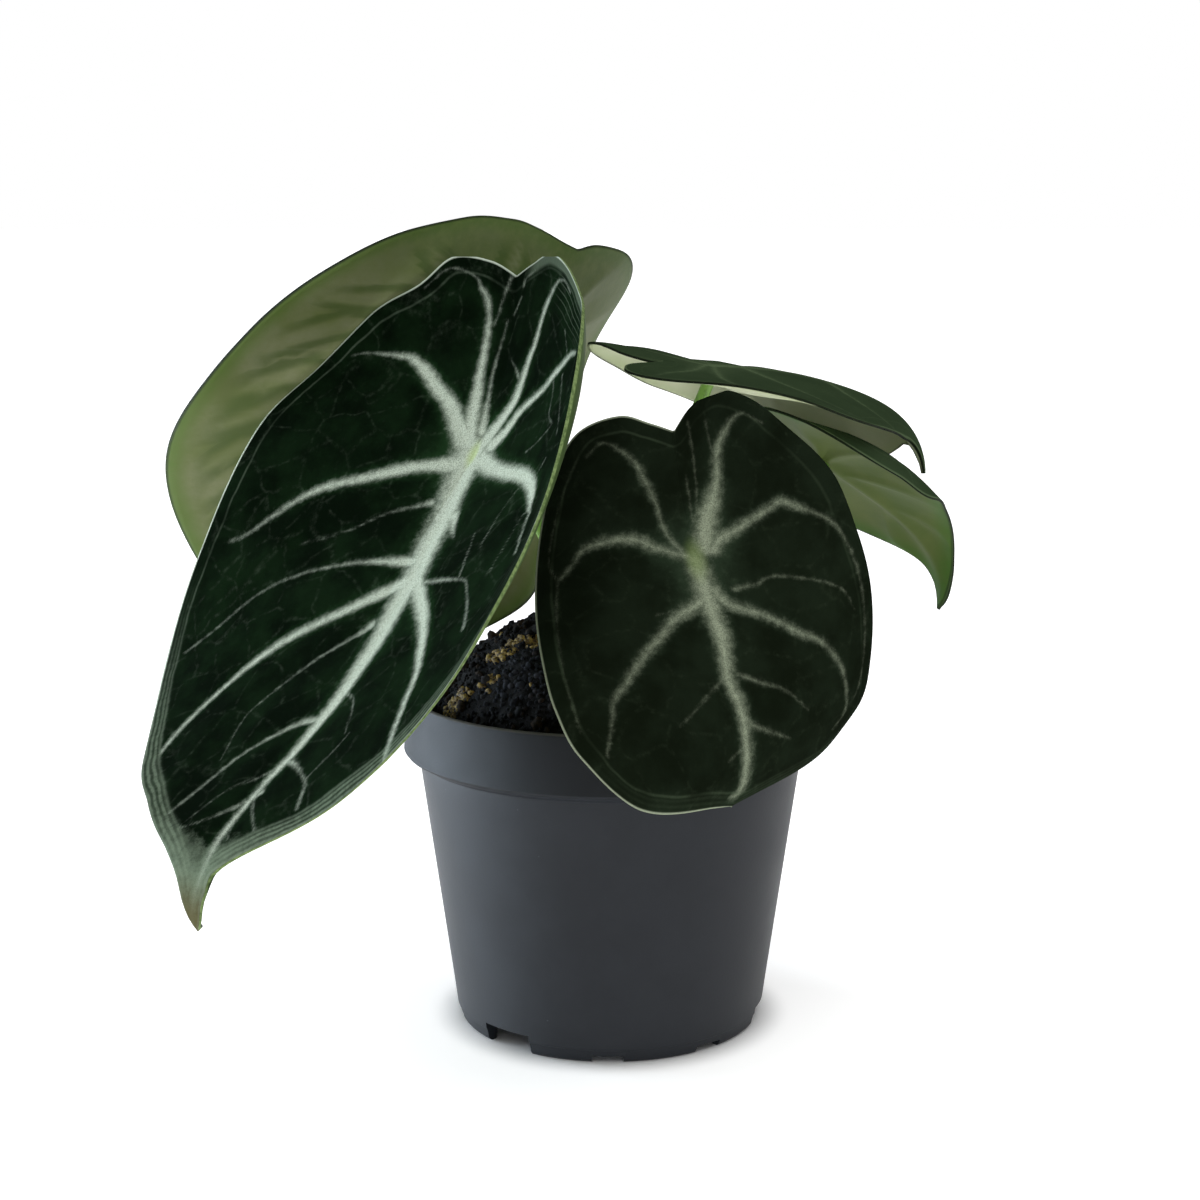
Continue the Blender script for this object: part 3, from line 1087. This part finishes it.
def distance_to(lines, x, y):
    """How far each flat point is from the nearest of some lines."""
    nearest = np.full(x.shape, 1e3)
    for line in lines:
        for (ax, ay), (bx, by) in zip(line, line[1:]):
            length2 = (bx - ax) ** 2 + (by - ay) ** 2
            t = np.clip(((x - ax) * (bx - ax) + (y - ay) * (by - ay)) / length2, 0, 1)
            nearest = np.minimum(nearest, np.hypot(x - ax - t * (bx - ax), y - ay - t * (by - ay)))
    return nearest


def painted_veins(leaf, x, y):
    """How pale each flat point is, from 0 to 1, on the painted veins and in the glow beside them."""
    pale, glow = np.zeros(x.shape), np.zeros(x.shape)
    for vein in leaf["paint"]:
        line = smooth_curve(vein, np.linspace(0, 1, 5 * len(vein)))
        for (ax, ay, start), (bx, by, end) in zip(line, line[1:]):
            close = (np.abs(x - (ax + bx) / 2) < 9) & (np.abs(y - (ay + by) / 2) < 9)
            px, py = x[close], y[close]
            length2 = (bx - ax) ** 2 + (by - ay) ** 2
            t = np.clip(((px - ax) * (bx - ax) + (py - ay) * (by - ay)) / length2, 0, 1)
            away = np.hypot(px - ax - t * (bx - ax), py - ay - t * (by - ay))
            width = start + (end - start) * t
            soft = EDGE_SOFTNESS + leaf["softness"] * width
            strength = np.clip(THIN_STRENGTH + 0.3 * width, 0, 1)
            shine = strength * np.clip((width / 2 + soft - away) / (2 * soft), 0, 1)
            pale[close] = np.maximum(pale[close], shine)
            spread = GLOW_REACH + GLOW_WIDTH * width
            glow[close] = np.maximum(glow[close], np.clip(width / 2, 0, 1) * np.exp(-((away / spread) ** 2)))
    return pale, glow


def margin_shares(leaf, half):
    outline, _ = even_curve(leaf["outline"][half], np.linspace(0, 1, 401))
    shares = []
    for vein in leaf["veins"]:
        away = np.hypot(outline[:, 0] - vein[-1][0], outline[:, 1] - vein[-1][1])
        shares.append(np.argmin(away) / 400)
    return [0.0] + shares + [1.0]


def blade_rows(leaf, half, counts, rings):
    """Flat points of one half, in rows from the midrib out to the margin, between its veins."""
    shares = margin_shares(leaf, half)
    ring = np.linspace(0, 1, rings)
    tip, notch = leaf["outline"][half][0][0], leaf["outline"][half][-1][0]
    keys = [smooth_curve([(tip * 0.97, 0), (tip, 0)], ring)]
    for vein, share in zip(leaf["veins"], shares[1:]):
        end, _ = even_curve(leaf["outline"][half], np.array([share]))
        keys.append(smooth_curve(list(vein[:-1]) + [tuple(end[0])], ring))
    keys.append(smooth_curve([(leaf["veins"][-1][0][0] - 1.2, 0), (notch, 0)], ring))
    rows = []
    for k, count in enumerate(counts):
        for n in range(count):
            weight = n / count
            share = shares[k] + (shares[k + 1] - shares[k]) * weight
            target, _ = even_curve(leaf["outline"][half], np.array([share]))
            row = keys[k] * (1 - weight) + keys[k + 1] * weight
            rows.append(row + (target[0] - row[-1]) * (ring ** 2)[:, None])
    rows.append(keys[-1])
    return np.array(rows)


def row_counts(leaf, spacing):
    """How many rows fit between one vein and the next, along the margin of the left half."""
    shares = margin_shares(leaf, 0)
    _, length = even_curve(leaf["outline"][0], np.array([0.0]))
    step = spacing * UNDER_STEP
    return [UNDER_STEP * max(1, round((b - a) * length / step)) for a, b in zip(shares, shares[1:])]


def blade_half(leaf, half, counts, rings):
    """Points, faces and shading values of one half of a blade."""
    hand = 1 if half == 0 else -1
    flat = blade_rows(leaf, half, counts, rings)
    flat[0, :, 1] = 0
    flat[-1, :, 1] = 0
    flat[:, 0, 1] = 0
    x, y = flat[..., 0], np.maximum(flat[..., 1], 0)
    ring = np.broadcast_to(np.linspace(0, 1, rings), x.shape).copy()
    ring[0, :-1] = 0
    ring[-1, :-1] = 0
    midrib, laterals = leaf["relief"]
    spread = distance_to([midrib], x, hand * y)
    lateral = distance_to(laterals, x, hand * y)
    tip = leaf["outline"][0][0][0]
    fade = np.clip((tip - x) / (tip * 0.4), 0, 1)
    fade = fade * fade * (3 - 2 * fade)
    inner = 1 - ring ** 4
    rib = MIDRIB_HEIGHT * (0.35 + 0.65 * fade) * np.exp(-((spread / MIDRIB_WIDTH) ** 2)) * inner
    vein = VEIN_HEIGHT * fade * np.exp(-((lateral / VEIN_WIDTH) ** 2)) * inner
    ridge = np.maximum(rib, vein)
    nearest = np.minimum(lateral, spread)
    dome = QUILTING * fade * (1 - np.exp(-((nearest / QUILT_WIDTH) ** 2))) * (1 - ring ** 6)
    thick = (BLADE_THICKNESS + (THIN_EDGE - BLADE_THICKNESS) * ring ** 6) / 2
    upper = in_space(leaf, x, y, dome + thick - ridge * GROOVE_SHARE, hand)
    fold = np.exp(-((distance_to(leaf["folds"], x, hand * y) / FOLD_WIDTH) ** 2)) * inner
    under = in_space(leaf, x, y, dome - thick - np.maximum(ridge, FOLD_HEIGHT * fold), hand)
    margin_line = even_curve(leaf["outline"][half], np.linspace(0, 1, 161))[0]
    margin = distance_to([margin_line], x, y)
    pale, glow = painted_veins(leaf, x, hand * y)
    sparse = (slice(None, None, UNDER_STEP), slice(None, None, UNDER_STEP))
    values = {"margin": margin, "vein": pale, "glow": glow, "fold": fold, "flat_x": x, "flat_y": hand * y}
    return upper, under[sparse], values, {key: value[sparse] for key, value in values.items()}


def grid_faces(start, rows, columns):
    row, column = np.meshgrid(np.arange(rows - 1), np.arange(columns - 1), indexing="ij")
    corner = (start + row * columns + column).ravel()
    return np.stack([corner, corner + 1, corner + columns + 1, corner + columns], 1).tolist()


def rim_faces(start, rows, columns, low_start, low_rows, low_columns):
    """Faces between the finely divided upper margin and the coarser lower one."""
    high = [start + row * columns + columns - 1 for row in range(rows)]
    low = [low_start + row * low_columns + low_columns - 1 for row in range(low_rows)]
    faces = []
    for i in range(low_rows - 1):
        first, *others = high[UNDER_STEP * i:UNDER_STEP * (i + 1) + 1]
        faces.append([first, low[i], low[i + 1], *reversed(others)])
    return faces


def make_blade(leaf, upper_skin, under_skin, edge_skin):
    """A closed blade: its upper face, its under face and the thin edge between them."""
    spacing, rings = leaf["grid"]
    counts = row_counts(leaf, spacing)
    points, faces, skins = [], [], []
    values = {key: [] for key in ("margin", "vein", "glow", "fold", "flat_x", "flat_y")}
    start = 0
    for half in (0, 1):
        upper, under, above, below = blade_half(leaf, half, counts, rings)
        rows, columns = upper.shape[:2]
        low_rows, low_columns = under.shape[:2]
        low_start = start + rows * columns
        points += [upper.reshape(-1, 3), under.reshape(-1, 3)]
        for key, blocks in values.items():
            blocks += [above[key].ravel(), below[key].ravel()]
        sheets = [
            grid_faces(start, rows, columns),
            [face[::-1] for face in grid_faces(low_start, low_rows, low_columns)],
            rim_faces(start, rows, columns, low_start, low_rows, low_columns),
        ]
        for skin, sheet in enumerate(sheets):
            faces += sheet if half == 0 else [face[::-1] for face in sheet]
            skins += [skin] * len(sheet)
        start = low_start + low_rows * low_columns
    name = "blade_" + leaf["name"]
    mesh = bpy.data.meshes.new(name)
    mesh.from_pydata((np.concatenate(points) * MM).tolist(), [], faces)
    for material in (upper_skin, under_skin, edge_skin):
        mesh.materials.append(material)
    mesh.polygons.foreach_set("material_index", skins)
    for label, blocks in values.items():
        layer = mesh.attributes.new(label, "FLOAT", "POINT")
        layer.data.foreach_set("value", np.concatenate(blocks))
    bm = bmesh.new()
    bm.from_mesh(mesh)
    bmesh.ops.remove_doubles(bm, verts=bm.verts, dist=3e-7)
    bmesh.ops.dissolve_degenerate(bm, edges=bm.edges, dist=1e-7)
    bm.to_mesh(mesh)
    bm.free()
    mesh.shade_smooth()
    blade = bpy.data.objects.new(name, mesh)
    bpy.context.scene.collection.objects.link(blade)
    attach(blade, "root")
    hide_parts("leaf_" + leaf["name"])


def stalk_path(points, steps):
    """Evenly spaced points of a smooth path that keeps close to its corners."""
    points = [Vector(p) for p in points]
    points = [2 * points[0] - points[1]] + points + [2 * points[-1] - points[-2]]
    fine = []
    for a, b, c, d in zip(points, points[1:], points[2:], points[3:]):
        ab, bc, cd = ((q - p).length ** 0.5 for p, q in ((a, b), (b, c), (c, d)))
        leave = ((b - a) / ab - (c - a) / (ab + bc) + (c - b) / bc) * bc
        arrive = ((c - b) / bc - (d - b) / (bc + cd) + (d - c) / cd) * bc
        for i in range(40):
            t = i / 40
            fine.append(
                (2 * t ** 3 - 3 * t ** 2 + 1) * b + (t ** 3 - 2 * t ** 2 + t) * leave
                + (3 * t ** 2 - 2 * t ** 3) * c + (t ** 3 - t ** 2) * arrive
            )
    fine.append(points[-2])
    fine = np.array([tuple(p) for p in fine])
    length = np.concatenate([[0], np.cumsum(np.linalg.norm(np.diff(fine, axis=0), axis=1))])
    even = np.linspace(0, length[-1], steps + 1)
    return [Vector([np.interp(s, length, fine[:, k]) for k in range(3)]) for s in even]


def make_stalk(leaf, skin):
    """A round stalk that tapers from the soil up to the blade, closed at both ends."""
    stalk = leaf["stalk"]
    x, y = stalk["root"]
    ground = float(mound_height(x, y))
    meet = BLADE_THICKNESS / 2 + MIDRIB_HEIGHT * 0.8
    path = stalk_path([
        (x, y, ground - HOLE_DEPTH + GAP),
        (x, y, ground - 2),
        (x, y, ground + 2),
        stalk["bend"],
        tuple(in_space(leaf, -APPROACH_BACK, 0.0, -meet - APPROACH_DOWN, 1)),
        tuple(in_space(leaf, 0.0, 0.0, -meet, 1)),
    ], STALK_STEPS)
    sides = STALK_SIDES
    points, faces, along = [], [], []
    across = Vector((1, 0, 0))
    for i, centre in enumerate(path):
        ahead = (path[min(i + 1, len(path) - 1)] - path[max(i - 1, 0)]).normalized()
        across = (across - ahead * across.dot(ahead)).normalized()
        other = ahead.cross(across)
        share = i / (len(path) - 1)
        swell = 0.12 * math.exp(-((share - 1) / 0.03) ** 2) + 0.18 * math.exp(-(share / 0.18) ** 2)
        radius = stalk["width"] / 2 * (1 - STALK_TAPER * share + swell - 0.12)
        for n in range(sides):
            angle = 2 * math.pi * n / sides
            points.append(centre + (across * math.cos(angle) + other * math.sin(angle)) * radius)
            along.append(share)
    for i in range(len(path) - 1):
        for n in range(sides):
            m = (n + 1) % sides
            faces.append((i * sides + n, i * sides + m, (i + 1) * sides + m, (i + 1) * sides + n))
    faces.append(tuple(reversed(range(sides))))
    faces.append(tuple((len(path) - 1) * sides + n for n in range(sides)))
    piece = make_mesh("stalk_" + leaf["name"], points, faces, [skin])
    layer = piece.data.attributes.new("along", "FLOAT", "POINT")
    layer.data.foreach_set("value", along)
    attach(piece, "root")
    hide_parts("petiole_" + leaf["name"])


def make_leaves():
    bright = velvet_top(
        "velvet_bright", colour(192, 204, 187), colour(26, 50, 26), colour(5, 13, 5), colour(116, 132, 112),
        colour(168, 190, 120), 1.3, 61, 0.6, 1.0,
    )
    dim = velvet_top(
        "velvet_dim", colour(154, 163, 139), colour(40, 52, 38), colour(16, 22, 13), colour(84, 98, 76),
        colour(112, 130, 76), 1.8, 60, 0.0, 0.0,
    )
    fresh = velvet_top(
        "velvet_fresh", colour(84, 100, 72), colour(58, 72, 50), colour(46, 60, 40), colour(74, 90, 62),
        colour(84, 100, 72), 1.0, 62, 0.0, 0.0,
    )
    olive = blade_underside(
        "underside_olive", colour(116, 121, 86), colour(98, 108, 62), colour(56, 76, 28),
        colour(130, 133, 102), colour(82, 110, 42), 0.6,
    )
    leafy = blade_underside(
        "underside_leafy", colour(74, 90, 56), colour(62, 80, 44), colour(58, 78, 38),
        colour(88, 102, 70), colour(66, 90, 40), 0.3,
    )
    green = blade_underside(
        "underside_green", colour(88, 100, 50), colour(76, 92, 42), colour(58, 86, 26),
        colour(92, 106, 60), colour(56, 94, 22), 0.0,
    )
    cream = blade_underside(
        "underside_cream", colour(220, 224, 190), colour(208, 216, 174), colour(176, 190, 132),
        colour(226, 230, 198), colour(200, 210, 162), 0.0,
    )
    pale_edge = blade_edge("edge_pale", colour(124, 144, 92), colour(84, 104, 60))
    dark_edge = blade_edge("edge_dark", colour(28, 38, 20), colour(18, 26, 14))
    skins = {
        "front_left": (bright, leafy, pale_edge),
        "back_left": (fresh, olive, dark_edge),
        "front_right": (dim, leafy, dark_edge),
        "right_upper": (fresh, cream, dark_edge),
        "right_lower": (fresh, green, dark_edge),
    }
    stalk = stalk_skin()
    for leaf in LEAVES:
        leaf["spine"] = spine_of(leaf)
        if "seen" in leaf:
            leaf["paint"] = laid_flat(leaf)
        broad = [vein for vein in leaf["paint"] if vein[0][2] >= RELIEF_WIDTH]
        lines = [smooth_curve(vein, np.linspace(0, 1, 21))[:, :2] for vein in broad]
        leaf["relief"] = lines[0], lines[1:]
        make_blade(leaf, *skins[leaf["name"]])
        make_stalk(leaf, stalk)


def make_floor():
    finish = Finish("pale_floor")
    grain = finish.noise(finish.place(), 60.0, 2.0)
    shade = finish.mix(finish.fade(grain, 0.3, 0.7), colour(250, 250, 250), colour(252, 252, 252))
    away = finish.distance(finish.place())
    glow = finish.fade(away, (BASE_RADIUS - 2) * MM, (BASE_RADIUS + 5) * MM, 0.0, 0.6)
    material = finish.surface(
        Base_Color=shade, Roughness=0.8, Emission_Color=(1, 1, 1, 1), Emission_Strength=glow,
    )
    size = 8000
    corners = [(-size, -size, 0), (size, -size, 0), (size, size, 0), (-size, size, 0)]
    floor = make_mesh("floor", corners, [(0, 1, 2, 3)], [material], smooth=False)


def add_light(name, kind, energy, place, aim, **settings):
    data = bpy.data.lights.new(name, kind)
    data.energy = energy
    for key, value in settings.items():
        setattr(data, key, value)
    light = bpy.data.objects.new(name, data)
    light.location = Vector(place) * MM
    light.rotation_euler = (Vector(aim) - Vector(place)).to_track_quat("-Z", "Y").to_euler()
    bpy.context.scene.collection.objects.link(light)
    return light


def set_lights():
    middle = (0, 0, 60)
    add_light("overhead", "SUN", 2.0, (-90, -200, 600), middle, angle=math.radians(70))
    add_light("left_softbox", "AREA", 5.5, (-600, 220, 40), middle, size=0.3, color=(0.78, 0.89, 1.0))
    gleam = add_light("left_gleam", "AREA", 22, (-600, 0, 30), middle, size=0.5, color=(0.7, 0.85, 1.0))
    gleam.visible_diffuse = False
    add_light("right_softbox", "AREA", 0.15, (650, 60, 160), middle, size=0.4)
    add_light("front_fill", "AREA", 0.65, (160, -700, 60), middle, size=0.5)
    bpy.context.scene.world = make_world()
    bpy.context.scene.view_settings.view_transform = "Standard"


def make_world():
    """White where the camera sees it, and a fainter white that lights the plant."""
    world = bpy.data.worlds.new("studio")
    world.use_nodes = True
    tree = world.node_tree
    tree.nodes.clear()
    white = (1, 1, 1, 1)
    cast = add_node(tree, "ShaderNodeBackground", {"Color": white, "Strength": 0.22})
    seen = add_node(tree, "ShaderNodeBackground", {"Color": white, "Strength": 1.0})
    direct = add_node(tree, "ShaderNodeLightPath").outputs["Is Camera Ray"]
    mix = add_node(tree, "ShaderNodeMixShader", {0: direct, 1: cast.outputs[0], 2: seen.outputs[0]})
    add_node(tree, "ShaderNodeOutputWorld", {"Surface": mix.outputs[0]})
    return world


def set_camera():
    data = bpy.data.cameras.new("camera")
    data.lens = LENS
    data.sensor_width = SENSOR
    camera = bpy.data.objects.new("camera", data)
    camera.location = Vector(CAMERA_PLACE) * MM
    camera.rotation_euler = (math.radians(CAMERA_TILT), 0, 0)
    bpy.context.scene.collection.objects.link(camera)
    bpy.context.scene.camera = camera


set_camera()
set_lights()
make_floor()
make_pot()
make_soil()
make_crumbs()
make_leaves()
